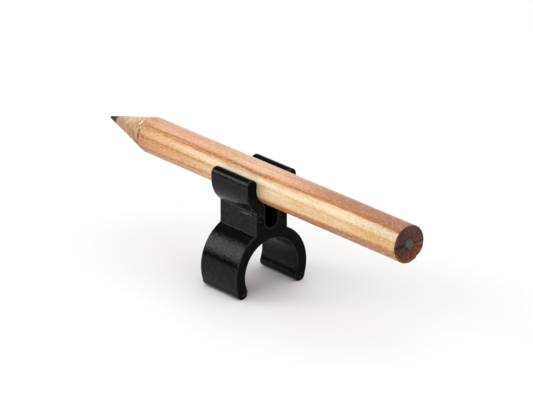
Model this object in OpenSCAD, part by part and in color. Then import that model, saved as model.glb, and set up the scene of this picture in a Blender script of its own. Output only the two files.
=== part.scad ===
// Pencil clip for a stand tube: a springy one-piece moulding that snaps round the tube
// with its lower ring and holds a short round pencil, parallel to the tube, in its upper jaws.
// Origin on the tube's axis at the clip's mid-width, +Y along the pencil to its point, +Z up.

/* [Tube ring] */
// Bore of the ring that snaps on to the stand tube
tube_d = 13.2; // [10:0.1:20]
// Thickness of the ring's wall
ring_wall = 2.4; // [1.8:0.1:3.6]
// Width of the whole clip along the tube
clip_w = 10.7; // [6:0.1:18]
// How far each tube jaw runs past the tube's centre line, in degrees
tube_jaw_drop = 21.5; // [12:0.5:32]
// How far the bead on each tube jaw reaches into the bore
bead_grip = 0.08; // [0.03:0.01:0.09]
// How far the bead on each tube jaw stands out of the ring
bead_swell = 0.1; // [0.05:0.01:0.4]

/* [Stem] */
// Width of the stem between the ring and the pencil jaws
stem_w = 8; // [6.4:0.1:9.4]
// Clear height between the ring's crown and the lowest point of the pencil jaws
stem_h = 2.35; // [1.5:0.05:6]
// Width of the slot that lets the pencil jaws spread
slot_w = 3.2; // [2:0.1:4]
// Thickness left between the slot's round bottom and the tube bore
slot_floor = 2.4; // [1.8:0.1:3.6]

/* [Pencil jaws] */
// Thickness of the pencil jaws' wall
jaw_wall = 2.5; // [1.8:0.1:3.4]
// How far each pencil jaw rises past the pencil's centre line, in degrees
jaw_rise = 10.7; // [6:0.1:20]
// Gap between the pencil and its seat, all round
seat_gap = 0.05; // [0.03:0.01:0.1]
// How far the lip on each pencil jaw reaches into the seat
lip_grip = 0.02; // [0.01:0.005:0.025]
// How far the lip on each pencil jaw stands out of the jaw
lip_swell = 0.1; // [0.05:0.01:0.3]

/* [Moulded details] */
// Radius of the ring's and the jaws' edges on the two end faces
edge_r = 0.2; // [0.1:0.05:0.5]
// Radius of the stem's upright edges
stem_edge_r = 0.26; // [0.12:0.02:0.6]
// Radius in the corners where the stem meets the ring and the pencil jaws
corner_r = 0.3; // [0.15:0.05:0.5]
// Diameter of the ejector pin marks beside the slot
stem_mark_d = 1.6; // [0.8:0.1:2]
// Diameter of the ejector pin marks on the beads
bead_mark_d = 1.2; // [0.6:0.1:1.4]
// Depth of the ejector pin marks
mark_depth = 0.12; // [0.05:0.01:0.3]

/* [Pencil] */
// Diameter of the pencil's wooden casing
pencil_d = 7.4; // [6:0.1:9]
// Length of the pencil from its cut end to its point
pencil_l = 88.2; // [60:0.1:180]
// How far the point stands beyond the clip's mid-width
point_reach = 44.2; // [35:0.1:60]
// Length of the sharpened cone, point included
cone_l = 13.5; // [9:0.1:25]
// Diameter of the lead
lead_d = 1.8; // [1.4:0.1:3]
// Diameter of the worn point
point_d = 0.5; // [0.3:0.05:0.8]
// Height of the worn point's rounded end
point_h = 0.15; // [0.08:0.01:0.18]
// Thickness of the glue round the lead
glue_gap = 0.03; // [0.02:0.01:0.06]

/* [Hidden] */
$fn = 96;

// Angle, in degrees, at which each edge round and corner fillet meets its faces
edge_angle = 15;
half_w = clip_w / 2;
bore_r = tube_d / 2;
ring_r = bore_r + ring_wall;
seat_r = pencil_d / 2 + seat_gap;
jaw_r = seat_r + jaw_wall;
// Height of the pencil's axis above the tube's axis
pencil_z = ring_r + stem_h + jaw_r;

// Beads and lips are round bars, one along the tip of each jaw
bead_r = (ring_wall + bead_grip + bead_swell) / 2;
bead_at = bore_r - bead_grip + bead_r;
lip_r = (jaw_wall + lip_grip + lip_swell) / 2;
lip_at = seat_r - lip_grip + lip_r;

stem_x = stem_w / 2;
// The fillets beside the stem stop just short of the edge rounds
corner_l = clip_w - 2 * max(edge_r, stem_edge_r) - corner_r;
slot_z = bore_r + slot_floor + slot_w / 2;
// Ejector pin marks sit in the middle of the wall on each side of the slot
stem_mark_x = (stem_x + slot_w / 2) / 2;
stem_mark_z = slot_z + slot_w / 4;

// The pencil tapers at one rate from the edge of its casing to the foot of its rounded point
pencil_r = pencil_d / 2;
point_r = point_d / 2;
cut_y = point_reach - pencil_l;
cone_y = point_reach - cone_l;
point_y = point_reach - point_h;
taper = (pencil_r - point_r) / (point_y - cone_y);
lead_r = lead_d / 2;
groove_r = lead_r + glue_gap;

// Position along the pencil at which the sharpened cone has radius r
function cone_at(r) = point_y - (r - point_r) / taper;

// Turns a shape drawn about Z so that it runs along Y, with angles from +X towards +Z
module along_tube() {
    rotate([90, 0, 0]) children();
}

// Section from x0 to x1 and as wide as the clip, with its four corners rounded to radius r
module wall_section(x0, x1, r) {
    side = r * cos(edge_angle);
    intersection() {
        translate([x0, -half_w]) square([x1 - x0, clip_w]);
        union() {
            translate([x0 + r, -half_w]) square([x1 - x0 - 2 * r, clip_w]);
            translate([x0, side - half_w]) square([x1 - x0, clip_w - 2 * side]);
            for (x = [x0 + r, x1 - r], end = [-1, 1])
                translate([x, end * (half_w - side)]) circle(r);
        }
    }
}

// Curved wall between radii r0 and r1 that starts at an angle and sweeps on from there
module arc_wall(r0, r1, from, sweep) {
    along_tube() rotate_extrude(angle = sweep, start = from) wall_section(r0, r1, edge_r);
}

// Round bar as wide as the clip, for the tip of a jaw
module tip_bar(r) {
    along_tube() rotate_extrude() intersection() {
        wall_section(-r, r, edge_r);
        translate([0, -half_w]) square([r, clip_w]);
    }
}

// Plain bar that runs out of both end faces, for cutting
module cross_bar(r) {
    translate([0, clip_w, 0]) along_tube() cylinder(h = 2 * clip_w, r = r);
}

// Ring that clasps the tube, open at the bottom, with a bead along each jaw's tip
module tube_ring() {
    arc_wall(bore_r, ring_r, -tube_jaw_drop, 180 + 2 * tube_jaw_drop);
    for (side = [-1, 1])
        translate([side * bead_at * cos(tube_jaw_drop), 0, -bead_at * sin(tube_jaw_drop)])
            tip_bar(bead_r);
}

// Two jaws that clasp the pencil, open at the top, with a lip along each jaw's tip
module pencil_jaws() {
    translate([0, 0, pencil_z]) {
        arc_wall(seat_r, jaw_r, 180 - jaw_rise, 180 + 2 * jaw_rise);
        for (side = [-1, 1])
            translate([side * lip_at * cos(jaw_rise), 0, lip_at * sin(jaw_rise)])
                tip_bar(lip_r);
    }
}

// Stem, with its ends buried in the middle of the two walls that it joins
module stem() {
    difference() {
        linear_extrude(pencil_z) wall_section(-stem_x, stem_x, stem_edge_r);
        cross_bar(bore_r + ring_wall / 2);
        translate([0, 0, pencil_z]) cross_bar(seat_r + jaw_wall / 2);
    }
}

// Filled corner between the stem's right side and a round wall of radius r below it
module corner_outline(r) {
    reach = corner_r * cos(edge_angle);
    x = stem_x + reach;
    z = sqrt((r + reach) ^ 2 - x ^ 2);
    inner = stem_x - corner_r;
    on_wall = r / (r + reach);
    difference() {
        polygon([[stem_x, z], [inner, z], [inner, z - 2 * corner_r], [x * on_wall, z * on_wall]]);
        translate([x, z]) circle(corner_r);
    }
}

// Fillets on both sides of the stem, against a round wall of radius r below it
module corner_fillets(r) {
    for (side = [0, 1])
        mirror([side, 0, 0])
            translate([0, corner_l / 2, 0]) along_tube() linear_extrude(corner_l) corner_outline(r);
}

// Slot down the middle of the stem, open to the pencil's seat
module slot() {
    depth = pencil_z - slot_z;
    translate([0, clip_w, 0]) along_tube() linear_extrude(2 * clip_w) {
        translate([0, slot_z]) circle(slot_w / 2);
        translate([-slot_w / 2, slot_z]) square([slot_w, depth]);
    }
}

// Shallow round recess in the front end face
module ejector_mark(x, z, d) {
    translate([x, mark_depth - half_w, z]) along_tube() cylinder(h = 2 * mark_depth, d = d);
}

module clip_body() {
    color("black") difference() {
        union() {
            tube_ring();
            stem();
            pencil_jaws();
            corner_fillets(ring_r);
            translate([0, 0, pencil_z]) mirror([0, 0, 1]) corner_fillets(jaw_r);
        }
        slot();
        for (side = [-1, 1]) {
            ejector_mark(side * stem_mark_x, stem_mark_z, stem_mark_d);
            ejector_mark(side * bead_at * cos(tube_jaw_drop), -bead_at * sin(tube_jaw_drop), bead_mark_d);
        }
    }
}

// Half of the wooden casing, from the pencil's axis plane: a grooved slat, turned and sharpened
module slat(from) {
    translate([0, 0, pencil_z]) along_tube() rotate_extrude(angle = 180, start = from)
        polygon([[groove_r, -cut_y], [pencil_r, -cut_y], [pencil_r, -cone_y], [groove_r, -cone_at(groove_r)]]);
}

module pencil_upper_slat() {
    color("peru") slat(0);
}

module pencil_lower_slat() {
    color("burlywood") slat(180);
}

// What is worn off a needle-sharp lead to leave its rounded point
module worn_off() {
    nose_r = (point_r ^ 2 + point_h ^ 2) / (2 * point_h);
    needle_y = cone_at(0);
    difference() {
        translate([0, -needle_y]) square([point_d, needle_y - point_y + point_h / 3]);
        translate([0, nose_r - point_reach]) circle(nose_r);
    }
}

// Lead rod with its sharpened end
module pencil_lead() {
    color("dimgray") translate([0, 0, pencil_z]) along_tube() rotate_extrude() difference() {
        polygon([[0, -cut_y], [lead_r, -cut_y], [lead_r, -cone_at(lead_r)], [0, -cone_at(0)]]);
        worn_off();
    }
}

clip_body();
pencil_upper_slat();
pencil_lower_slat();
pencil_lead();
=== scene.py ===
"""Pencil clip: a black moulded clip for a stand tube, holding a short cedar pencil, on a pale floor.

The clip is one outline carried across its width, and the pencil's pieces are sections turned about its axis.
"""

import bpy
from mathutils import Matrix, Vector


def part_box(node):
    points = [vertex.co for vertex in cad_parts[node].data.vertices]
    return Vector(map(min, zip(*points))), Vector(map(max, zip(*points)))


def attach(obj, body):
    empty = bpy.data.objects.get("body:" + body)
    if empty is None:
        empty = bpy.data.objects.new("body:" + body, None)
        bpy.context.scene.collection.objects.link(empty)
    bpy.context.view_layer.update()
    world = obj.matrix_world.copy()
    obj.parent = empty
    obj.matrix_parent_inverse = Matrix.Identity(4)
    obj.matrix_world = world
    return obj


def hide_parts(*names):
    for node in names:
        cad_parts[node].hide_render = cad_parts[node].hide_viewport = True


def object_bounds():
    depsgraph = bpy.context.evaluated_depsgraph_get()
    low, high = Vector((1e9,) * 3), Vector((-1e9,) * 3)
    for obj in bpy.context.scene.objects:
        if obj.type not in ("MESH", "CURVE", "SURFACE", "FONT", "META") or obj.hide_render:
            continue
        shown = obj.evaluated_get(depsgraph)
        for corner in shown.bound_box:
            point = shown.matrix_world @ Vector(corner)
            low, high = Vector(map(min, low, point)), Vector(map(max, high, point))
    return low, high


bl_info = {
    "name": "Pencil Clip",
    "version": (1, 0, 0),
    "blender": (4, 5, 0),
    "location": "View3D > Sidebar > Pencil Clip",
    "description": "Builds a moulded pencil clip, its cedar pencil and a pale studio floor",
    "category": "Add Mesh",
}

import math

import bmesh
import bpy
import numpy as np
from bpy.props import FloatProperty, FloatVectorProperty, PointerProperty
from bpy.types import Operator, Panel, PropertyGroup
from mathutils import Vector
from mathutils.geometry import delaunay_2d_cdt

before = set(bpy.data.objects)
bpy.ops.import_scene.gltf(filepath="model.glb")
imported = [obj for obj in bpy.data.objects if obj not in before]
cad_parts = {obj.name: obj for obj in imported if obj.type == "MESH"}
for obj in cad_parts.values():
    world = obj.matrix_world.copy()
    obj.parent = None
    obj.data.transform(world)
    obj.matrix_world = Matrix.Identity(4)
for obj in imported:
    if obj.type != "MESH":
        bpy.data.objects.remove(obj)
cad_low, cad_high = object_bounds()
clip_low, clip_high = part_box("clip_body")
slat_low, slat_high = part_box("pencil_upper_slat")
lead_low, lead_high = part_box("pencil_lead")

MM = 0.001
TURN = 2 * math.pi
WHITE = (1, 1, 1)
# Points that lie closer together than this are one
MERGE = 0.002 * MM
# Shine and roughness of the plastic on the walls, on the end faces and on the pin marks' rims
WALL_FINISH = (0.135, 0.13)
FACE_FINISH = (0.06, 0.42)
RIM_FINISH = (0.2, 0.3)
# The cedar's layers, in pencil radii: bow of the rings, rise of the top layer towards the cut end and its dip
# just before it, fall of the lowest layer towards the point, its height and its step on the cut end's side
RING_BOW = 0.0003
TOP_RISE = 0.004
TOP_DIP = 0.025
LOW_FALL = 0.03
LOW_HEIGHT = 0.11
LOW_STEP = 0.3
# Tints of the cedar: painted shade along its crest, then the wood next to the cut end and next to the cone,
# and fibres and flecks
PAINTED_CREST_SHADE = (0.90, 0.91, 0.95)
END_TINT = (0.82, 0.81, 0.82)
CONE_TINT = (0.86, 0.78, 0.70)
FIBRE_TINT = (0.86, 0.72, 0.56)
FLECK_TINT = (0.80, 0.67, 0.54)
SCRATCH_TINT = (0.45, 0.45, 0.45)
# Chips in the cut end: angle round the pencil's axis in degrees, width, and share of the full depth
LEAD_CHIP = (-130, 0.33 * MM, 1.0)
RIM_CHIPS = ((-52, 0.6 * MM, 0.9), (-75, 0.37 * MM, 0.5))
# Tool marks on the cut end: direction in radians and fineness of each wave, and waves to a metre
MARK_WAVES = ((0.3, 1.0), (1.2, 1.7), (2.4, 2.3), (0.8, 3.9))
WOOD_MARKS = 3.2 / MM
LEAD_MARKS = 5 / MM
# The lamps: place, size, and the share of the size over which the light fades to each edge
KEY_LAMP = ((-0.465, 0.517, 0.327), (0.62, 0.56), 0.35)
TOP_LAMP = ((-0.1, -0.45, 0.9), (3.0, 2.4), 0.05)


def length(name, description, millimetres):
    """A size, written in millimetres and kept in metres."""
    return FloatProperty(name=name, description=description, default=millimetres * MM, unit="LENGTH",
                         precision=5)


def angle(name, description, degrees):
    """An angle, written in degrees and kept in radians."""
    return FloatProperty(name=name, description=description, default=math.radians(degrees), subtype="ANGLE")


def share(name, description, default):
    """A plain number between nought and one."""
    return FloatProperty(name=name, description=description, default=default, min=0, max=1, subtype="FACTOR")


def number(name, description, default):
    """A plain number."""
    return FloatProperty(name=name, description=description, default=default)


def colour(name, description, default):
    """A linear colour."""
    return FloatVectorProperty(name=name, description=description, default=default, min=0, max=1,
                               subtype="COLOR")


class ClipSettings(PropertyGroup):
    """Sizes and colours of the moulded clip."""

    ring_wall: length("Ring wall", "Thickness of the tube ring", 2.4)
    ring_drop: angle("Ring drop", "Angle of each tube jaw below the centre line", 21.5)
    bead_grip: length("Bead grip", "Reach of each tube jaw's bead into the bore", 0.08)
    bead_swell: length("Bead swell", "Height of each bead outside the ring", 0.1)
    stem_w: length("Stem width", "Width of the stem between ring and jaws", 8)
    slot_w: length("Slot width", "Width of the slot in the stem", 3.2)
    slot_floor: length("Slot floor", "Thickness between the slot and the bore", 2.4)
    jaw_wall: length("Jaw wall", "Thickness of the pencil jaws", 2.5)
    jaw_rise: angle("Jaw rise", "Angle of each pencil jaw above the centre line", 10.7)
    seat_gap: length("Seat gap", "Gap between the pencil and its seat", 0.05)
    lip_grip: length("Lip grip", "Reach of each pencil jaw's lip into the seat", 0.02)
    lip_swell: length("Lip swell", "Height of each lip outside the jaw", 0.1)
    edge_r: length("Edge radius", "Radius of the edges on the two end faces", 0.2)
    softness: length("Corner softness", "Rounding of the outline's corners", 0.13)
    bead_softness: length("Bead softness", "Rounding between the bore and its beads", 0.4)
    corner_cut: length("Slot corner cut", "Cut of the slot's upper corners", 0.4)
    stem_mark_d: length("Stem mark", "Diameter of the pin marks beside the slot", 1.6)
    bead_mark_d: length("Bead mark", "Diameter of the pin marks on the beads", 1.2)
    mark_depth: length("Mark depth", "Depth of the pin marks", 0.12)
    ridge_drop: length("Ridge drop", "Depth of the upper ridge below the jaw's foot", 0.13)
    ridge_gap: length("Ridge gap", "Distance between the two ridges", 0.62)
    ridge_h: length("Ridge height", "Height of the mould ridges", 0.11)
    ridge_w: length("Ridge width", "Half the width of each mould ridge", 0.15)
    black: colour("Plastic", "Colour of the plastic", (0.0010, 0.0010, 0.0010))
    # Painted highlight: a pale colour painted along the two mould ridges of the stem, where they catch the
    # lamp
    ridge_highlight: colour("Scuffed plastic", "Colour of the rubbed mould ridges", (0.13, 0.126, 0.123))
    bloom: colour("Plastic bloom", "Paler mottling in the plastic", (0.0024, 0.0023, 0.0022))
    # Paler plastic on the edges and on the pin marks' rims: partly wear, partly a painted highlight
    rubbed_and_highlit: colour("Rubbed plastic", "Colour of the edges and the pin marks' rims", (0.040, 0.038, 0.036))


class PencilSettings(PropertyGroup):
    """Sizes and colours of the pencil."""

    cone_l: length("Cone length", "Length of the sharpened cone, point included", 13.5)
    glue_gap: length("Glue gap", "Thickness of the glue round the lead", 0.03)
    point_d: length("Point diameter", "Diameter of the worn point", 0.5)
    point_h: length("Point height", "Height of the worn point's rounded end", 0.15)
    end_round: length("End rounding", "Rounding of the casing's cut end", 0.12)
    end_roughness: length("End roughness", "Depth of the tool marks on the cut end", 0.05)
    chip_depth: length("Chip depth", "Depth of the chips at the cut end", 0.22)
    knife_depth: length("Knife depth", "Depth of the knife marks on the cone", 0.02)
    gold: colour("Gold wood", "Golden wood inside the growth rings", (0.84, 0.54, 0.275))
    # Cream is the palest wood; it is also painted onto the cone's top as painted light
    cream_and_painted_light: colour("Cream wood", "Palest wood, towards the cut end", (0.90, 0.72, 0.50))
    # Ivory is painted light: the wood beside the clip, where the clip's shade falls, is painted paler
    ivory_painted_light: colour("Ivory wood", "Palest wood beside the clip", (0.95, 0.83, 0.64))
    straw: colour("Straw wood", "Duller golden wood towards the cut end", (0.84, 0.53, 0.235))
    blush: colour("Blush wood", "Pale pinkish top, towards the point", (0.76, 0.45, 0.30))
    rose: colour("Rose wood", "Pinkish brown top, towards the cut end", (0.49, 0.235, 0.152))
    honey: colour("Honey wood", "Warm wood next to the clip", (0.83, 0.49, 0.25))
    russet: colour("Russet wood", "Reddish wood along the bottom", (0.49, 0.20, 0.10))
    amber: colour("Amber wood", "Warm wood between the growth rings", (0.67, 0.325, 0.155))
    orange: colour("Orange wood", "Warm wood beside the dark lines", (0.60, 0.235, 0.062))
    pale: colour("Pale flecks", "Pale flecks in the wood", (0.90, 0.68, 0.42))
    umber: colour("Umber wood", "Dark lines between the growth rings", (0.30, 0.105, 0.032))
    bare: colour("Bare wood", "Unlacquered wood on the cone", (0.43, 0.245, 0.15))
    end_dark: colour("End grain", "Dark wood of the cut end", (0.070, 0.030, 0.021))
    end_brown: colour("Lower end rays", "Paler lines of the cut end's lower half", (0.32, 0.105, 0.042))
    smear: colour("Smear", "Grey smears on the cone", (0.38, 0.26, 0.155))
    smudge: colour("Smudge", "Dark smudges where the lacquer stops", (0.10, 0.075, 0.055))
    end_light: colour("End rays", "Paler lines of the cut end", (0.20, 0.108, 0.085))
    # The glue's colour is also painted as shade into the chip beside the lead
    glue: colour("Glue line", "Dark glued seam on the cut end", (0.010, 0.007, 0.006))
    graphite: colour("Graphite", "Colour of the lead's point", (0.020, 0.026, 0.023))
    sawn_lead: colour("Sawn graphite", "Colour of the lead's sawn end", (0.085, 0.082, 0.080))


class StageSettings(PropertyGroup):
    """Camera, lamps, room and floor."""

    azimuth: angle("Azimuth", "Camera's direction round the clip", -40.59)
    elevation: angle("Elevation", "Camera's height above the horizon", 21.875)
    distance: length("Distance", "Camera's distance from its aim", 690.49)
    aim: FloatVectorProperty(name="Aim", description="Point that the camera looks at",
                             default=(4.4835 * MM, 1.4315 * MM, 9.9735 * MM), subtype="TRANSLATION")
    lens: number("Lens", "Focal length, in millimetres", 240.44)
    floor_r: length("Floor radius", "Radius of the round floor", 2500)
    floor_tone: colour("Floor", "Colour of the floor", (0.92, 0.92, 0.92))
    key_power: number("Key power", "Soft lamp at the back left, in watts", 2.1)
    top_power: number("Top power", "Large lamp overhead, in watts", 23.2)
    sky: share("Sky", "Brightness of the room overhead", 0.5)
    backdrop: share("Backdrop", "Brightness of the low backdrop", 0.9)
    horizon: share("Horizon", "Brightness of the room round about", 0.08)


class Shade:
    """A shader socket that takes part in Python sums: each operator adds one Math node to its tree."""

    def __init__(self, tree, socket=None):
        self.tree = tree
        self.socket = socket

    def node(self, kind, settings=(), sockets=(), out=0):
        """Adds a node of any kind, its settings first and then the values or links of its sockets.

        A colour is three numbers, and gets full alpha.
        """
        made = self.tree.nodes.new(kind)
        for name, value in dict(settings).items():
            setattr(made, name, value)
        for key, value in dict(sockets).items():
            slot = made.inputs[key]
            if isinstance(value, Shade):
                self.tree.links.new(value.socket, slot)
            else:
                slot.default_value = (*value, 1) if slot.type == "RGBA" else value
        return Shade(self.tree, made.outputs[out] if made.outputs else None)

    def math(self, operation, *terms):
        """One Math node on these terms."""
        return self.node("ShaderNodeMath", {"operation": operation}, enumerate(terms))

    def __add__(self, other):
        return self.math("ADD", self, other)

    def __sub__(self, other):
        return self.math("SUBTRACT", self, other)

    def __rsub__(self, other):
        return self.math("SUBTRACT", other, self)

    def __mul__(self, other):
        return self.math("MULTIPLY", self, other)

    def __truediv__(self, other):
        return self.math("DIVIDE", self, other)

    def __abs__(self):
        return self.math("ABSOLUTE", self)

    __radd__ = __add__
    __rmul__ = __mul__

    def fade(self, low, high, first=0, last=1):
        """Goes smoothly from first to last while this value goes from low to high."""
        return self.node("ShaderNodeMapRange", {"interpolation_type": "SMOOTHSTEP"},
                         enumerate((self, low, high, first, last)))

    def band(self, centre, half):
        """One at the centre, falling smoothly to nought at half a width from it."""
        return abs(self - centre).fade(0, half, 1, 0)

    def reach(self, other):
        """Distance from the middle of a point with these two coordinates."""
        return self.math("SQRT", self * self + other * other)

    def blend(self, amount, first, last, mode="MIX"):
        """Goes from one colour to another while an amount goes from nought to one."""
        return self.node("ShaderNodeMix", {"data_type": "RGBA", "blend_type": mode},
                         {0: amount, 6: first, 7: last}, out=2)

    def mix(self, first, last):
        """Goes from one colour to another while this value goes from nought to one."""
        return self.blend(self, first, last)

    def coats(self, *coats, mode="MIX"):
        """This colour under coats laid on one after the other, each an amount and a colour."""
        tone = self
        for amount, coat in coats:
            tone = self.blend(amount, tone, coat, mode)
        return tone

    def noise(self, place, scale, detail, roughness=0.5):
        """Noise at a place, with so many grains to a unit."""
        return self.node("ShaderNodeTexNoise", {"noise_dimensions": "3D"},
                         {"Vector": place, "Scale": scale, "Detail": detail, "Roughness": roughness})

    def place(self, origin=(0, 0, 0), scale=(1, 1, 1)):
        """Object coordinates, counted from an origin and then scaled."""
        coordinates = self.node("ShaderNodeTexCoord", out="Object")
        moved = self.node("ShaderNodeVectorMath", {"operation": "SUBTRACT"}, {0: coordinates, 1: origin})
        return self.node("ShaderNodeVectorMath", {"operation": "MULTIPLY"}, {0: moved, 1: scale})

    def part(self, axis):
        """One component of a vector."""
        return self.node("ShaderNodeSeparateXYZ", (), {0: self}, out="XYZ".index(axis))

    def bump(self, height, distance, strength):
        """Normal of a surface raised by a height that is a share of a distance."""
        return self.node("ShaderNodeBump", (), {"Height": height, "Distance": distance, "Strength": strength})


def empty_graph(owner):
    """Clears the nodes of a material, lamp or world and gives the Shade that adds new ones."""
    owner.use_nodes = True
    owner.node_tree.nodes.clear()
    return Shade(owner.node_tree)


def new_material(name):
    """An empty node material and the Shade that adds its nodes."""
    material = bpy.data.materials.new(name)
    return material, empty_graph(material)


def finish_material(graph, sockets):
    """Ends a material in one Principled shader with these sockets."""
    surface = graph.node("ShaderNodeBsdfPrincipled", (), sockets)
    graph.node("ShaderNodeOutputMaterial", (), {"Surface": surface})


def plastic_material(clip, name, finish, bloom, shape=None):
    """Black moulded plastic with a fine grain and a paler bloom, as shiny and as rough as its mould left it.

    Given the clip's shape, its edges are also paler, partly from wear and partly as a painted highlight, and
    the two mould ridges of the stem are painted with a highlight.
    """
    shine, dullness = finish
    material, graph = new_material(name)
    place = graph.place()
    mottle = graph.noise(place, 2300, 0)
    cloud = graph.noise(place, 420, 2)
    speck = graph.noise(place, 2100, 1)
    tone = mottle.fade(0.4, 0.65).mix(clip.black, bloom)
    relief = mottle * cloud.fade(0.3, 0.6, 0.6, 1.2)
    if shape:
        along = place.part("Y") / shape.half_w
        # Paler edges: partly wear, partly a painted highlight along the rounded edges
        edge = abs(along).fade(0.92, 0.98) * cloud.fade(0.35, 0.60, 0.15, 0.6)
        tone = edge.mix(tone, clip.rubbed_and_highlit)
        # Painted highlight on the two mould ridges on the stem's left side
        drop = shape.stem_top - place.part("Z")
        left = place.part("X").band(-shape.stem_x, 0.3 * MM)
        upper = drop.band(clip.ridge_drop, clip.ridge_w) * along.fade(0.3, -0.3)
        lower = drop.band(clip.ridge_drop + clip.ridge_gap, clip.ridge_w)
        lower = lower * along.fade(-0.1, -0.2) * along.fade(-0.85, -0.75)
        tone = ((upper + lower) * left * mottle.fade(0.3, 0.6)).mix(tone, clip.ridge_highlight)
    finish_material(graph, {
        "Base Color": tone,
        "Roughness": dullness + 0.08 * (mottle - 0.5) + 0.14 * (cloud - 0.5),
        "Specular IOR Level": 0.45 * shine,
        "Specular Tint": (1, 0.96, 0.89),
        "Coat Weight": shine * speck.fade(0.38, 0.62, 0.6, 1.5),
        "Coat Roughness": dullness,
        "Normal": graph.bump(relief, 0.045 * MM, 0.9),
    })
    return material


def in_radii(graph, shape):
    """Place in the pencil, counted from its axis at the clip's middle, in radii."""
    return graph.place((0, 0, shape.axis_z), (1 / shape.radius,) * 3)


def grain_noise(graph, shape, across, along, detail, roughness=0.5):
    """Noise in the pencil with so many grains to a metre across it and along it."""
    return graph.noise(graph.place((0, 0, shape.axis_z), (across, along, across)), 1, detail, roughness)


def lines(*bands):
    """Sum of bands, each a strength, the value that it follows, its centre there and half its width."""
    return sum(strength * value.band(centre, half) for strength, value, centre, half in bands)


def cedar_tone(graph, pencil, shape):
    """Colour of the pencil's cedar, and its fibres and flecks.

    Lengths are counted from the clip's middle and heights from the pencil's axis, both in radii. A growth
    ring is the height less a bow times the square of the length, turned over on the cut end's side, plus a
    slow wander. The top layer also rises towards the cut end and dips just before it. The lowest layer falls
    towards the point instead, and steps down on the cut end's side of the clip. The layers have warm and dark
    lines between them, and are warmer towards the point.
    """
    place = in_radii(graph, shape)
    along = place.part("Y")
    height = place.part("Z")
    slow = grain_noise(graph, shape, 200, 45, 2)
    wander = grain_noise(graph, shape, 700, 160, 2)
    fibre = grain_noise(graph, shape, 2700, 110, 3, 0.65)
    fleck = grain_noise(graph, shape, 4800, 1300, 2, 0.6)
    streak = fibre.fade(0.40, 0.62)
    speck = fleck.fade(0.46, 0.66)

    point_side = along.fade(-1.4, 1.8)
    cut_side = 1 - point_side
    top_point_side = along.fade(-7.5, -2.4)
    top_cut_side = 1 - top_point_side
    near_cone = along.fade(2.0, 8.3)
    near_end = along.fade(-8.8, -10.6)
    stray = 0.08 * (slow - 0.5) + 0.04 * (wander - 0.5) + 0.07 * (fibre - 0.5)
    ring = height - RING_BOW * along * along * along.fade(-2, 2, -0.4, 1) + stray
    top = ring + TOP_RISE * top_cut_side * (along + 5) + TOP_DIP * near_end
    low = height + LOW_FALL * along - LOW_HEIGHT + LOW_STEP * cut_side + stray

    # Painted light: beside the clip, the cream (and with it the straw, honey, blush and middle wood) turns to
    # ivory
    cream_and_painted_light = (0.7 * along.band(0, 2.8)).mix(pencil.cream_and_painted_light, pencil.ivory_painted_light)
    straw = (0.4 * along.fade(-9.5, -7.5) + 0.3 * along.fade(-5.0, -3.2)).mix(pencil.straw, cream_and_painted_light)
    honey = (0.5 * along.fade(4.4, 2.2)).mix(pencil.honey, cream_and_painted_light)
    amber = near_cone.mix(honey, pencil.amber)
    gold = (0.55 * near_cone).mix(pencil.gold, amber)
    middle = along.fade(2.2, 6.0).mix(ring.fade(0.28, 0.48).mix(straw, cream_and_painted_light), gold)
    russet = (0.8 * along.fade(-5.5, -3.0)).mix(pencil.russet, pencil.orange)
    russet = (point_side * (0.75 - 0.5 * near_cone)).mix(russet, amber)
    blush = (0.3 * along.band(-1.0, 3.0)).mix(pencil.blush, cream_and_painted_light)
    rose = top_point_side.mix(pencil.rose, blush)

    warm = lines(
        (top_point_side, top, 0.71, 0.21),
        (0.8 * top_cut_side, top, 0.80, 0.16),
        (point_side * (0.4 + 0.4 * near_cone), ring, 0.21, 0.15),
        (0.15 * cut_side, ring, 0.30, 0.10),
        (0.5, low, -0.28, 0.12),
    )
    dark = lines(
        (0.65 * top_point_side, top, 0.77, 0.08),
        ((0.35 + 0.45 * near_end) * top_cut_side, top, 0.80, 0.11),
        (0.4 * point_side, ring, 0.69, 0.03),
        (0.4 * point_side, ring, 0.26, 0.05),
        (0.15 + 0.7 * near_cone, low, -0.29, 0.09),
        (0.4, low, -0.62, 0.14),
    )
    tone = middle.coats(
        (point_side * ring.fade(0.34, 0.22), amber),
        (low.fade(-0.23, -0.35), russet),
        (top.fade(0.72, 0.80), rose),
        (warm * streak.fade(-1.5, 1), pencil.orange),
        (dark * streak.fade(-1.0, 1), pencil.umber),
    )
    tone = tone.coats(
        # Painted shade: the crest along the top of the pencil is darkened
        (ring.fade(0.92, 1.02) * (1 + 0.6 * top_point_side), PAINTED_CREST_SHADE),
        (0.7 * near_end * height.fade(-0.1, 0.1), END_TINT),
        (0.8 * along.fade(7.2, 8.3), CONE_TINT),
        (0.5 * streak, FIBRE_TINT),
        (0.5 * speck, FLECK_TINT),
        mode="MULTIPLY",
    )
    pale = fleck.fade(0.50, 0.32) * top.fade(0.70, 0.82, 0.45, 0.22)
    return pale.mix(tone, pencil.pale), streak, speck


def lacquer_material(pencil, shape):
    """Cedar under clear lacquer, a little rough along its fibres and flecks."""
    material, graph = new_material("lacquered_cedar")
    tone, fibre, fleck = cedar_tone(graph, pencil, shape)
    finish_material(graph, {
        "Base Color": tone,
        "Roughness": 0.42 + 0.15 * fleck,
        "Coat Weight": 0.14 + 0.06 * fibre,
        "Coat Roughness": 0.22,
        "Specular IOR Level": 0.2,
        "Normal": graph.bump(fibre + 0.5 * fleck, 0.012 * MM, 0.6),
    })
    return material


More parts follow.
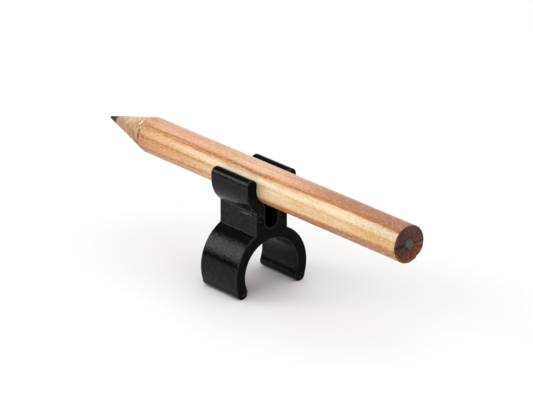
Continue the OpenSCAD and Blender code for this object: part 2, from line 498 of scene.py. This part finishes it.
def cone_material(pencil, shape):
    """Bare cedar, cut by a sharpener: dull, with painted light on top, smeared, and smudged next to the
    lacquer.
    """
    material, graph = new_material("sharpened_cedar")
    tone, fibre, fleck = cedar_tone(graph, pencil, shape)
    smear = grain_noise(graph, shape, 520, 300, 3, 0.65)
    knife = grain_noise(graph, shape, 750, 800, 3, 0.6)
    height = in_radii(graph, shape).part("Z")
    collar = graph.place().part("Y").fade(shape.cone_y + 4.2 * MM, shape.cone_y + 1.0 * MM)
    smudged = collar * knife.fade(0.46, 0.56) * smear.fade(0.38, 0.52) * height.fade(0.92, 0.72)
    tone = tone.coats(
        (0.60, pencil.bare),
        (0.5 * smear.fade(0.38, 0.62), pencil.smear),
        (0.2 * knife.fade(0.50, 0.36), pencil.pale),
        # Painted light: the cone's top, where it faces up, is painted paler with cream
        (0.65 * height.fade(0.15, 0.70) * knife.fade(0.80, 0.35), pencil.cream_and_painted_light),
        (0.45 * collar * knife.fade(0.40, 0.60), pencil.orange),
        (0.7 * smudged, pencil.smudge),
    )
    finish_material(graph, {
        "Base Color": tone,
        "Roughness": 0.72 + 0.12 * fleck,
        "Specular IOR Level": 0.25,
        "Normal": graph.bump(fibre + knife, 0.02 * MM, 0.7),
    })
    return material


def painted_chip_shade(graph, shape):
    """Where shade is painted into the chip beside the lead on the cut end: one in the chip, nought outside
    it, a fade of the distance from it.
    """
    (x, z), _, _ = shape.chips[0]
    place = graph.place((x, 0, shape.axis_z + z))
    return place.part("X").reach(place.part("Z")).fade(0.42 * MM, 0.20 * MM)


def end_grain_material(pencil, shape):
    """The casing's sawn end: the upper half dark and fine, the lower one browner, with arcs of growth rings.

    The arcs are sines of the distance from a point above the axis, the rays are noise round the middle, and
    the seam is a dark line between the halves.
    """
    material, graph = new_material("cedar_end_grain")
    place = in_radii(graph, shape)
    across = place.part("X")
    up = place.part("Z")
    pores = grain_noise(graph, shape, 2600, 300, 4, 0.7)
    warp = grain_noise(graph, shape, 600, 50, 2)
    rings = graph.math("SINE", 34 * (across - 0.2).reach(up - 0.6) + 14 * warp)
    outward = across.reach(up) + 0.05
    upper = up.fade(-0.03, 0.03)
    left = across.fade(0.3, -0.7)
    beam = graph.node("ShaderNodeCombineXYZ", (), enumerate((across / outward, up / outward)))
    rays = graph.noise(beam, 7, 2, 0.6).fade(0.40, 0.62)
    light = rings.fade(-0.6, 1.0) * (0.22 - 0.12 * upper) + 0.45 * rays + 0.4 * pores.fade(0.42, 0.62)
    rim = outward.fade(0.88, 0.98) * up.fade(0.62, 0.35) * across.fade(0.75, 0.35)
    seam = abs(up + 0.05 * (warp - 0.5)).fade(0.04 + 0.07 * left, 0.02)
    tone = light.mix(pencil.end_dark, upper.mix(pencil.end_brown, pencil.end_light)).coats(
        (0.8 * left, pencil.end_dark),
        (0.45 * outward.fade(0.80, 0.35), pencil.end_dark),
        (0.8 * rim * warp.fade(0.35, 0.55), pencil.end_brown),
        (seam * (0.45 + 0.4 * left), pencil.glue),
        # Painted shade: the chip beside the lead is painted in the glue's dark colour
        (painted_chip_shade(graph, shape), pencil.glue),
    )
    finish_material(graph, {
        "Base Color": tone,
        "Roughness": 0.62 + 0.2 * pores,
        "Specular IOR Level": 0.12,
        "Normal": graph.bump(pores + 0.4 * rings, 0.05 * MM, 0.9),
    })
    return material


def graphite_material(pencil, shape):
    """Pencil lead: dark grey, with a dull metallic sheen and fine scratches, and paler on its sawn end."""
    material, graph = new_material("pencil_graphite")
    place = graph.place((0, 0, shape.axis_z))
    scratch = graph.noise(place, 4200, 3, 0.6)
    sawn = place.part("Y").fade(0.5 * MM, -0.5 * MM)
    tone = sawn.mix(pencil.graphite, pencil.sawn_lead)
    tone = graph.blend(0.5 * scratch.fade(0.35, 0.65), tone, SCRATCH_TINT, "MULTIPLY")
    finish_material(graph, {
        # Painted shade: the chip is painted dark on the lead's sawn end too
        "Base Color": (sawn * painted_chip_shade(graph, shape)).mix(tone, pencil.glue),
        "Roughness": 0.42 + 0.2 * scratch,
        "Metallic": 0.25,
        "Normal": graph.bump(scratch, 0.02 * MM, 0.6),
    })
    return material


def arc(centre, radius, start, end, step=0.05 * MM):
    """Points of an arc: a centre plus the radius times the cosine and sine of an angle from start to end."""
    count = max(3, int(abs(end - start) * radius / step))
    turn = np.linspace(start, end, count)
    return np.stack([centre[0] + radius * np.cos(turn), centre[1] + radius * np.sin(turn)], axis=1)


def crossing(first_r, second_r, apart):
    """Angle at one circle's centre from the line of centres to the crossing, by the law of cosines."""
    return math.acos((first_r ** 2 + apart ** 2 - second_r ** 2) / (2 * first_r * apart))


def bearing(start, end):
    """Angle of the line from one point to another."""
    return math.atan2(end[1] - start[1], end[0] - start[0])


def polar(centre, radius, turn):
    """Point at a radius and an angle round a centre."""
    return centre + radius * np.array([math.cos(turn), math.sin(turn)])


class ClipShape:
    """The clip's outline in X and Z and the places on it, from the frame and the settings."""

    def __init__(self, clip):
        self.half_w = (clip_high.y - clip_low.y) / 2
        self.ring_r = clip_high.x
        self.bore_r = self.ring_r - clip.ring_wall
        self.axis_z = slat_low.z
        self.seat_r = slat_high.x + clip.seat_gap
        self.jaw_r = self.seat_r + clip.jaw_wall
        self.bead_r = (clip.ring_wall + clip.bead_grip + clip.bead_swell) / 2
        self.bead_at = self.bore_r - clip.bead_grip + self.bead_r
        self.lip_r = (clip.jaw_wall + clip.lip_grip + clip.lip_swell) / 2
        self.lip_at = self.seat_r - clip.lip_grip + self.lip_r
        self.stem_x = clip.stem_w / 2
        self.slot_x = clip.slot_w / 2
        self.slot_z = self.bore_r + clip.slot_floor + self.slot_x
        self.bead = polar(np.zeros(2), self.bead_at, -clip.ring_drop)
        self.stem_top = self.axis_z - math.sqrt(self.jaw_r ** 2 - self.stem_x ** 2)
        self.outline = self.closed_outline(clip)

    def right_half(self, clip):
        """The right half of the outline, from the bore's crown round the outside to the slot's bottom."""
        tube = np.zeros(2)
        pencil = np.array([0, self.axis_z])
        bead_in = crossing(self.bore_r, self.bead_r, self.bead_at) - clip.ring_drop
        bead_out = crossing(self.ring_r, self.bead_r, self.bead_at) - clip.ring_drop
        lip = polar(pencil, self.lip_at, clip.jaw_rise)
        lip_out = clip.jaw_rise - crossing(self.jaw_r, self.lip_r, self.lip_at)
        lip_in = clip.jaw_rise - crossing(self.seat_r, self.lip_r, self.lip_at)
        bead_from = bearing(self.bead, polar(tube, self.bore_r, bead_in))
        bead_to = bearing(self.bead, polar(tube, self.ring_r, bead_out)) + TURN
        lip_from = bearing(lip, polar(pencil, self.jaw_r, lip_out))
        lip_to = bearing(lip, polar(pencil, self.seat_r, lip_in)) % TURN
        seat_end = clip.corner_cut / self.seat_r - math.acos(self.slot_x / self.seat_r)
        slot_top = self.axis_z - math.sqrt(self.seat_r ** 2 - self.slot_x ** 2) - clip.corner_cut
        return np.concatenate([
            arc(tube, self.bore_r, math.pi / 2, bead_in),
            arc(self.bead, self.bead_r, bead_from, bead_to),
            arc(tube, self.ring_r, bead_out, math.acos(self.stem_x / self.ring_r)),
            arc(pencil, self.jaw_r, -math.acos(self.stem_x / self.jaw_r), lip_out),
            arc(lip, self.lip_r, lip_from, lip_to),
            arc(pencil, self.seat_r, lip_in, seat_end),
            [[self.slot_x, slot_top]],
            arc((0, self.slot_z), self.slot_x, 0, -math.pi / 2),
        ])

    def closed_outline(self, clip, step=0.075 * MM):
        """The whole outline, anticlockwise in even steps, with its corners rounded.

        The left half mirrors the right one. The line is walked in even steps, and each corner is rounded by a
        bell-shaped average along the line, which is a product in the line's Fourier series. Low in the bore
        the average is wider, so that the beads swell out gently.
        """
        right = self.right_half(clip)
        line = np.concatenate([right, right[::-1] * (-1, 1)])
        line = line[:, 0] + 1j * line[:, 1]
        steps = np.abs(np.diff(line, append=line[0]))
        line = line[steps > step * 1e-3]
        walk = np.concatenate([[0], np.cumsum(np.abs(np.diff(line, append=line[0])))])
        count = 2 * int(walk[-1] / step / 2)
        even = np.interp(np.arange(count) * walk[-1] / count, walk, np.append(line, line[0]))
        wave = TURN * np.fft.fftfreq(count, walk[-1] / count)
        firm, soft = [np.fft.ifft(np.fft.fft(even) * np.exp(-((spread * wave) ** 2) / 2))
                      for spread in (clip.softness, clip.bead_softness)]
        in_bore = smoothstep(-self.bore_r - 0.5 * MM, -self.bore_r - 0.1 * MM, -np.abs(firm))
        in_bore = in_bore * smoothstep(-1 * MM, 1 * MM, -firm.imag)
        return firm + (soft - firm) * in_bore

    def outward(self):
        """Unit normals that point out of the outline: the direction of travel, turned to the right."""
        travel = np.roll(self.outline, -1) - np.roll(self.outline, 1)
        return -1j * travel / np.abs(travel)


def points_of(x, y, z):
    """Points from their three coordinates, each spread out to the shape of all."""
    return np.stack(np.broadcast_arrays(x, y, z), axis=-1)


def ring_faces(rows, columns, closed=True):
    """Quads of a grid of points, row by row, whose columns close on themselves or not."""
    column = np.arange(columns - (not closed))
    after = (column + 1) % columns
    row = columns * np.arange(rows - 1)[:, None]
    corners = [row + column, row + columns + column, row + columns + after, row + after]
    return np.stack(corners, axis=-1).reshape(-1, 4)


def smoothstep(low, high, value):
    """Nought below low, one above high and a smooth step between them."""
    t = np.clip((value - low) / (high - low), 0, 1)
    return t * t * (3 - 2 * t)


def stem_ridges(shape, clip, y):
    """How far two low ridges, which the mould left under the jaw, lift the left of the stem.

    Each is a bell of the height, with a groove between the two, faded in and out along the width.
    """
    def bell(depth):
        return np.exp(-((shape.stem_top - shape.outline.imag - depth) / clip.ridge_w) ** 2)

    along = y / shape.half_w
    on_stem = smoothstep(0.3 * MM, 0.1 * MM, np.abs(shape.outline.real + shape.stem_x))
    long = smoothstep(0.5, 0.1, along) * smoothstep(-0.95, -0.9, along)
    short = smoothstep(-0.08, -0.22, along) * smoothstep(-0.84, -0.75, along)
    upper = bell(clip.ridge_drop)
    lower = bell(clip.ridge_drop + clip.ridge_gap) - 0.6 * bell(clip.ridge_drop + clip.ridge_gap / 2)
    return clip.ridge_h * on_stem * (upper * long[:, None] + lower * short[:, None])


def clip_walls(shape, clip, round_steps=7, wall_steps=32):
    """The clip's rounded edges and walls, as one grid: the outline by a path across the width.

    The path runs from the front face over a quarter round to the wall and over a second one to the back face.
    A point is the outline moved inwards along its normal by the path's inset, and outwards by the ridges.
    """
    turn = np.linspace(0, math.pi / 2, round_steps)
    inset = clip.edge_r * (1 - np.sin(turn))
    depth = clip.edge_r * (1 - np.cos(turn))
    # One more row, just inside each rounded edge, keeps the end faces flat
    support = clip.edge_r * 1.12
    wall = np.linspace(clip.edge_r, 2 * shape.half_w - clip.edge_r, wall_steps)[1:-1]
    insets = np.concatenate([[support], inset, np.zeros(wall.size), inset[::-1], [support]])
    depths = np.concatenate([[0], depth, wall, 2 * shape.half_w - depth[::-1], [2 * shape.half_w]])
    y = depths - shape.half_w
    points = shape.outline + shape.outward() * (stem_ridges(shape, clip, y) - insets[:, None])
    return points_of(points.real, y[:, None], points.imag)


def face_triangles(loop, holes):
    """Triangles that fill a loop of points in X and Z, except for round holes, and the points that they use.

    A constrained triangulation fills the loop, and the triangles that lie wholly in a hole are left out.
    """
    rings = [loop / MM] + [rim / MM for _, _, rim in holes]
    edges, start = [], 0
    for ring in rings:
        ids = start + np.arange(len(ring))
        edges.append(np.stack([ids, np.roll(ids, -1)], axis=1))
        start += len(ring)
    points = [Vector(p) for p in np.concatenate(rings)]
    inside_only, tolerance = 1, 1e-7
    filled = delaunay_2d_cdt(points, np.concatenate(edges).tolist(), [], inside_only, tolerance)
    flat = np.array([tuple(v) for v in filled[0]]) * MM
    triangles = np.array(filled[2])
    keep = np.ones(len(triangles), bool)
    for centre, radius, _ in holes:
        on_rim = np.hypot(*(flat - centre).T) < radius * 1.001
        keep &= ~on_rim[triangles].all(axis=1)
    return flat, triangles[keep]


def mark_grid(centre, ring, front, depth, columns):
    """A shallow round recess: circles that step down from the face to a floor and close in its middle."""
    inward = np.array([0, 0.08, 0.2, 0.6, 1.0])
    down = np.array([0, 0.4, 1, 1, 1]) * depth
    flat = ring + (centre - ring) * inward[:, None, None]
    points = points_of(flat[..., 0], (front + down)[:, None], flat[..., 1])
    return points, ring_faces(len(inward), columns)


def mesh_piece(name, groups, materials, sharp=40):
    """A new piece from groups of points and faces, each with a material's number; doubles are merged.

    Faces are turned outwards, and edges sharper than an angle stay sharp.
    """
    mesh = bpy.data.meshes.new(name)
    points, faces, numbers, start = [], [], [], 0
    for group_points, group_faces, material in groups:
        points.append(np.asarray(group_points).reshape(-1, 3))
        faces.extend((np.asarray(group_faces) + start).tolist())
        numbers.append(np.broadcast_to(material, len(group_faces)))
        start += len(points[-1])
    mesh.from_pydata(np.concatenate(points), [], faces)
    mesh.polygons.foreach_set("material_index", np.concatenate(numbers).astype(np.int32))
    for material in materials:
        mesh.materials.append(material)
    work = bmesh.new()
    work.from_mesh(mesh)
    bmesh.ops.remove_doubles(work, verts=work.verts, dist=MERGE)
    bmesh.ops.recalc_face_normals(work, faces=work.faces)
    work.to_mesh(mesh)
    work.free()
    mesh.shade_smooth()
    mesh.set_sharp_from_angle(angle=math.radians(sharp))
    piece = bpy.data.objects.new(name, mesh)
    bpy.context.scene.collection.objects.link(piece)
    return piece


def clip_groups(shape, clip, mark_steps=56):
    """The clip's walls, its two end faces and the ejector pin marks in the front one."""
    walls = clip_walls(shape, clip)
    turn = np.linspace(0, TURN, mark_steps, endpoint=False)
    circle = np.stack([np.cos(turn), np.sin(turn)], axis=1)
    stem_mark = ((shape.stem_x + shape.slot_x) / 2, shape.slot_z + shape.slot_x / 2)
    holes = []
    for (x, z), diameter in ((stem_mark, clip.stem_mark_d), (shape.bead, clip.bead_mark_d)):
        for side in (-1, 1):
            centre = np.array([side * x, z])
            holes.append((centre, diameter / 2, centre + circle * diameter / 2))
    on_wall, on_face, on_rim = 0, 1, 2
    groups = [(walls, ring_faces(*walls.shape[:2]), on_wall)]
    for row, marks in ((0, holes), (-1, [])):
        flat, triangles = face_triangles(walls[row][:, [0, 2]], marks)
        groups.append((points_of(flat[:, 0], walls[row][0, 1], flat[:, 1]), triangles, on_face))
    for centre, _, ring in holes:
        points, faces = mark_grid(centre, ring, -shape.half_w, clip.mark_depth, mark_steps)
        groups.append((points, faces, np.repeat((on_rim, on_rim, on_face, on_face), mark_steps)))
    return groups


class PencilShape:
    """The pencil's sizes and the chips in its cut end, from the frame and the settings."""

    def __init__(self, pencil):
        self.axis_z = slat_low.z
        self.radius = slat_high.x
        self.cut_y = slat_low.y
        self.lead_r = lead_high.x
        self.groove_r = self.lead_r + pencil.glue_gap
        self.tip_y = lead_high.y
        self.cone_y = self.tip_y - pencil.cone_l
        self.point_y = self.tip_y - pencil.point_h
        self.point_r = pencil.point_d / 2
        self.taper = (self.radius - self.point_r) / (self.point_y - self.cone_y)
        chips = [(self.lead_r, LEAD_CHIP)] + [(self.radius, chip) for chip in RIM_CHIPS]
        self.chips = [(polar(np.zeros(2), away, math.radians(turn)), width, part)
                      for away, (turn, width, part) in chips]

    def cone_at(self, radius):
        """Place along the pencil at which the cone has a radius."""
        return self.point_y - (radius - self.point_r) / self.taper

    def dents(self, x, z, depth):
        """Depth of the chips in the cut end: bells of the distance from the lead's edge or the lower rim."""
        bells = [part * np.exp(-((x - at[0]) ** 2 + (z - at[1]) ** 2) / width ** 2)
                 for at, width, part in self.chips]
        return depth * np.sum(bells, axis=0)


def tool_marks(x, z, grain):
    """Roughness between nought and one: the mean of four crossed waves of different fineness."""
    waves = [np.sin((x * math.cos(turn) + z * math.sin(turn)) * grain * fineness + 2.1 * fineness)
             for turn, fineness in MARK_WAVES]
    return 0.5 + 0.5 * np.mean(waves, axis=0)


def roughen_end(shape, pencil, points, amount, roughness, grain):
    """Pushes points in along the pencil by the cut end's tool marks and chips, times an amount."""
    x = points[..., 0]
    z = points[..., 2] - shape.axis_z
    dents = roughness * tool_marks(x, z, grain) + shape.dents(x, z, pencil.chip_depth)
    points[..., 1] += amount * dents


def section(*runs):
    """Radii and lengths of a section, joined from runs in which either may be one number for all."""
    spread = [np.broadcast_arrays(radii, lengths) for radii, lengths in runs]
    return np.concatenate(spread, axis=1)[..., None]


def turned(shape, radii, lengths, turns):
    """A section turned about the pencil's axis: each radius times cosine and sine, at its length."""
    return points_of(radii * np.cos(turns), lengths, radii * np.sin(turns) + shape.axis_z)


def casing_groups(shape, pencil, start, turn_steps=97, end_steps=22, bend_steps=6, side_steps=70,
                  cone_steps=40, groove_steps=12):
    """One glued half of the casing, from the seam at an angle through half a turn, and its two seam faces.

    Its section runs out across the cut end, over a small round, along the side, down the cone to the lead and
    back along the groove. The cut end has tool marks and chips, and the cone the low ripples of a knife.
    """
    turns = np.linspace(start, start + math.pi, turn_steps)[None, :]
    bend = np.linspace(0, math.pi / 2, bend_steps)[1:]
    inner = shape.radius - pencil.end_round
    end_r = np.linspace(shape.groove_r, inner, end_steps)
    round_r = inner + pencil.end_round * np.sin(bend)
    round_y = shape.cut_y + pencil.end_round * (1 - np.cos(bend))
    side_y = np.linspace(round_y[-1], shape.cone_y, side_steps)[1:]
    cone_r = np.linspace(shape.radius, shape.groove_r, cone_steps)[1:]
    groove_y = np.linspace(shape.cone_at(shape.groove_r), shape.cut_y, groove_steps)[1:-1]
    radii, lengths = section((end_r, shape.cut_y), (round_r, round_y), (shape.radius, side_y),
                             (cone_r, shape.cone_at(cone_r)), (shape.groove_r, groove_y))
    rows = np.arange(len(lengths))
    side_end = end_r.size + round_r.size + side_y.size
    on_cone = np.zeros((len(lengths), 1))
    on_cone[side_end:side_end + cone_r.size, 0] = np.sin(np.linspace(0, math.pi, cone_r.size + 2)[1:-1])
    ripple = 0.5 + 0.25 * np.sin(9 * turns + 1.3) + 0.25 * np.sin(23 * turns + 40 * lengths / shape.radius)
    points = turned(shape, radii - pencil.knife_depth * on_cone * ripple, lengths, turns)
    near_end = 1 - smoothstep(0, 4 * pencil.end_round, lengths - shape.cut_y)
    near_end = near_end * (rows < side_end)[:, None]
    roughen_end(shape, pencil, points, near_end, pencil.end_roughness, WOOD_MARKS)
    looped = np.concatenate([points, points[:1]])
    lacquer, bare, end_grain = 0, 1, 2
    kind = np.select([rows < end_r.size + 2, rows < side_end - 1], [end_grain, lacquer], bare)
    numbers = np.repeat(kind, turn_steps - 1)
    seams = np.stack([rows * turn_steps, rows * turn_steps + turn_steps - 1])
    return [(looped, ring_faces(len(looped), turn_steps, closed=False), numbers), (points, seams, bare)]


def lead_groups(shape, pencil, turn_steps=64, end_steps=16, rod_steps=12, cone_steps=24, cap_steps=10):
    """The lead: its section runs from the middle of the cut end along the rod and down the cone to the point.

    The cut end is a little rough and chipped, and the worn point is a cap whose depth grows by the square of
    its radius.
    """
    turns = np.linspace(0, TURN, turn_steps, endpoint=False)[None, :]
    end_r = np.linspace(0, shape.lead_r, end_steps)
    rod_y = np.linspace(shape.cut_y, shape.cone_at(shape.lead_r), rod_steps)[1:]
    cone_r = np.linspace(shape.lead_r, shape.point_r, cone_steps)[1:]
    cap = np.linspace(1, 0, cap_steps)[1:]
    radii, lengths = section((end_r, shape.cut_y), (shape.lead_r, rod_y), (cone_r, shape.cone_at(cone_r)),
                             (shape.point_r * cap, shape.tip_y - pencil.point_h * cap ** 2))
    points = turned(shape, radii, lengths, turns)
    on_end = (np.arange(len(lengths)) < end_r.size)[:, None]
    roughen_end(shape, pencil, points, on_end, 0.8 * pencil.end_roughness, LEAD_MARKS)
    return [(points, ring_faces(len(lengths), turn_steps), 0)]


class PENCILCLIP_OT_moulding(Operator):
    """Builds the moulded clip in place of its plain solid"""

    bl_idname = "pencil_clip.moulding"
    bl_label = "Clip Moulding"

    def execute(self, context):
        clip = context.scene.clip_settings
        shape = ClipShape(clip)
        walls = plastic_material(clip, "black_plastic_walls", WALL_FINISH, clip.bloom, shape)
        faces = plastic_material(clip, "black_plastic_faces", FACE_FINISH, clip.bloom)
        # The pin marks' rims are painted paler, a painted highlight round each mark
        rims = plastic_material(clip, "black_plastic_rims", RIM_FINISH, clip.rubbed_and_highlit)
        piece = mesh_piece("clip_moulding", clip_groups(shape, clip), [walls, faces, rims])
        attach(piece, "clip")
        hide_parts("clip_body")
        return {"FINISHED"}


class PENCILCLIP_OT_casing(Operator):
    """Builds the two glued halves of the pencil's casing"""

    bl_idname = "pencil_clip.casing"
    bl_label = "Pencil Casing"

    def execute(self, context):
        pencil = context.scene.pencil_settings
        shape = PencilShape(pencil)
        finishes = [make(pencil, shape) for make in (lacquer_material, cone_material, end_grain_material)]
        for name, node, start in (("upper_casing_half", "pencil_upper_slat", 0),
                                  ("lower_casing_half", "pencil_lower_slat", math.pi)):
            piece = mesh_piece(name, casing_groups(shape, pencil, start), finishes)
            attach(piece, "pencil")
            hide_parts(node)
        return {"FINISHED"}


class PENCILCLIP_OT_lead(Operator):
    """Builds the pencil's lead"""

    bl_idname = "pencil_clip.lead"
    bl_label = "Pencil Lead"

    def execute(self, context):
        pencil = context.scene.pencil_settings
        shape = PencilShape(pencil)
        piece = mesh_piece("graphite_lead", lead_groups(shape, pencil), [graphite_material(pencil, shape)])
        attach(piece, "pencil")
        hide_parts("pencil_lead")
        return {"FINISHED"}


def floor_material(stage):
    """A pale floor, dull and faintly uneven."""
    material, graph = new_material("pale_floor")
    cloud = graph.noise(graph.place(), 14, 2)
    darker = np.array(stage.floor_tone) * 0.985
    tone = cloud.fade(0.3, 0.7).mix(darker, stage.floor_tone)
    finish_material(graph, {"Base Color": tone, "Roughness": 0.6, "Specular IOR Level": 0.2})
    return material


def floor_disc(stage, rings=12, columns=96):
    """A round floor at the clip's lowest point: circles whose radius grows by a square."""
    spread = stage.floor_r * np.linspace(0, 1, rings)[:, None] ** 2
    turn = np.linspace(0, TURN, columns, endpoint=False)
    points = points_of(spread * np.cos(turn), spread * np.sin(turn), cad_low.z)
    return [(points, ring_faces(rings, columns), 0)]


def aim_at(piece, place, target):
    """Puts a lamp or the camera at a place and turns it to look at a target."""
    piece.location = place
    piece.rotation_mode = "QUATERNION"
    piece.rotation_quaternion = (Vector(target) - Vector(place)).to_track_quat("-Z", "Y")
    bpy.context.scene.collection.objects.link(piece)


def add_lamp(name, power, lamp, target):
    """An oblong soft lamp, whose light fades towards its edges over a share of its size."""
    place, size, fade = lamp
    data = bpy.data.lights.new(name, "AREA")
    graph = empty_graph(data)
    on_lamp = graph.node("ShaderNodeNewGeometry", out="Parametric")
    glow = 1 / (1 - fade) ** 2
    for axis in "XY":
        glow = glow * on_lamp.part(axis).fade(0, fade) * on_lamp.part(axis).fade(1, 1 - fade)
    light = graph.node("ShaderNodeEmission", (), {"Color": WHITE, "Strength": glow})
    graph.node("ShaderNodeOutputLight", (), {"Surface": light})
    data.energy = power
    data.shape = "RECTANGLE"
    data.size, data.size_y = size
    aim_at(bpy.data.objects.new(name, data), place, target)


def studio_world(stage):
    """A plain room, pale overhead and dim towards the horizon, with a low white backdrop behind the clip."""
    world = bpy.data.worlds.new("studio")
    bpy.context.scene.world = world
    graph = empty_graph(world)
    toward = graph.node("ShaderNodeTexCoord", out="Generated")
    up = toward.part("Z")
    behind = math.cos(stage.azimuth) * toward.part("Y") - math.sin(stage.azimuth) * toward.part("X")
    room = up.fade(0.55, 0.95, stage.horizon, stage.sky)
    backdrop = stage.backdrop * behind.fade(0.8, 0.97) * up.fade(0.50, 0.30)
    sky = graph.node("ShaderNodeBackground", (), {"Color": WHITE, "Strength": room + backdrop})
    graph.node("ShaderNodeOutputWorld", (), {"Surface": sky})


class PENCILCLIP_OT_stage(Operator):
    """Sets up the pale floor, the soft lamps, the room and the camera"""

    bl_idname = "pencil_clip.stage"
    bl_label = "Studio Stage"

    def execute(self, context):
        stage = context.scene.stage_settings
        floor = mesh_piece("studio_floor", floor_disc(stage), [floor_material(stage)])
        centre = (cad_low + cad_high) / 2
        under_top = (*TOP_LAMP[0][:2], 0)
        add_lamp("key_lamp", stage.key_power, KEY_LAMP, centre)
        add_lamp("top_lamp", stage.top_power, TOP_LAMP, under_top)
        studio_world(stage)
        data = bpy.data.cameras.new("camera")
        data.lens = stage.lens
        data.clip_start = 0.01
        data.clip_end = 20
        aim = Vector(stage.aim)
        level = math.cos(stage.elevation)
        back = Vector((math.sin(stage.azimuth) * level, -math.cos(stage.azimuth) * level,
                       math.sin(stage.elevation)))
        camera = bpy.data.objects.new("camera", data)
        aim_at(camera, aim + back * stage.distance, aim)
        context.scene.camera = camera
        context.scene.view_settings.view_transform = "Standard"
        return {"FINISHED"}


class PENCILCLIP_PT_panel(Panel):
    """Lists the pieces and their settings"""

    bl_idname = "PENCILCLIP_PT_panel"
    bl_label = "Pencil Clip"
    bl_space_type = "VIEW_3D"
    bl_region_type = "UI"
    bl_category = "Pencil Clip"

    def draw(self, context):
        for operator in OPERATORS:
            self.layout.operator(operator.bl_idname)
        for group in SETTINGS:
            settings = getattr(context.scene, group)
            box = self.layout.box()
            for name in settings.bl_rna.properties.keys():
                if name not in ("rna_type", "name"):
                    box.prop(settings, name)


OPERATORS = (PENCILCLIP_OT_moulding, PENCILCLIP_OT_casing, PENCILCLIP_OT_lead, PENCILCLIP_OT_stage)
SETTINGS = {"clip_settings": ClipSettings, "pencil_settings": PencilSettings, "stage_settings": StageSettings}
CLASSES = (*SETTINGS.values(), *OPERATORS, PENCILCLIP_PT_panel)


def register():
    """Registers the classes and puts the settings on the scene."""
    for cls in CLASSES:
        bpy.utils.register_class(cls)
    for name, group in SETTINGS.items():
        setattr(bpy.types.Scene, name, PointerProperty(type=group))


def unregister():
    """Takes the settings and the classes off again."""
    for name in SETTINGS:
        delattr(bpy.types.Scene, name)
    for cls in reversed(CLASSES):
        bpy.utils.unregister_class(cls)


def main():
    """Builds every piece and the stage."""
    register()
    bpy.ops.pencil_clip.moulding()
    bpy.ops.pencil_clip.casing()
    bpy.ops.pencil_clip.lead()
    bpy.ops.pencil_clip.stage()


if __name__ == "__main__":
    main()
